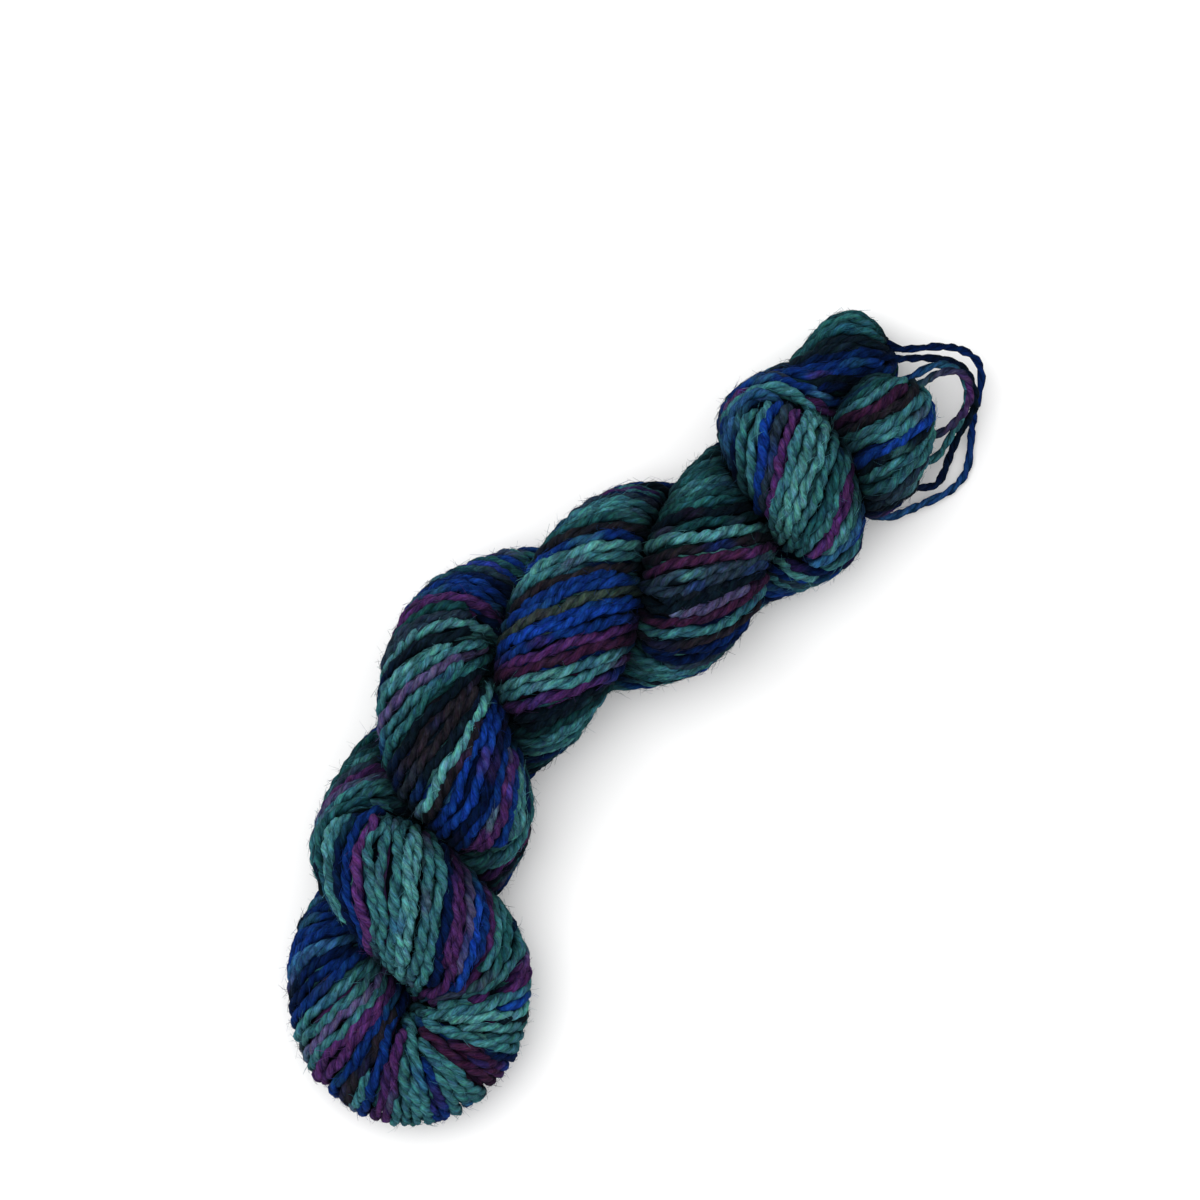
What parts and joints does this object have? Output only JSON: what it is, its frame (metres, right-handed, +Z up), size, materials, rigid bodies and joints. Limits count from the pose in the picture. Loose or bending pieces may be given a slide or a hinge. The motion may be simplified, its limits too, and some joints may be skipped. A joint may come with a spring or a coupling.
{
  "type": "hank of yarn",
  "caption": "Twisted hank of thick variegated wool yarn, folded back on itself as a two-ply rope, with loose strands at its tucked end, lying at rest.",
  "frame": {"origin": "on the surface the hank lies on, under the middle of its box, loose strands included", "axes": "+X along the hank from its folded end to its tucked ends, +Z up"},
  "size_m": [0.2364, 0.0888, 0.044],
  "materials": {
    "variegated_wool": "fuzzy wool, space-dyed in teal, blue, purple and charcoal",
    "loose_wool": "fuzzy wool, space-dyed in navy and blue"
  },
  "bodies": {
    "root": {"hank": "variegated_wool", "loop_outer": "loose_wool", "loop_middle": "loose_wool", "loop_inner": "loose_wool", "loop_short": "loose_wool"}
  },
  "joints": []
}
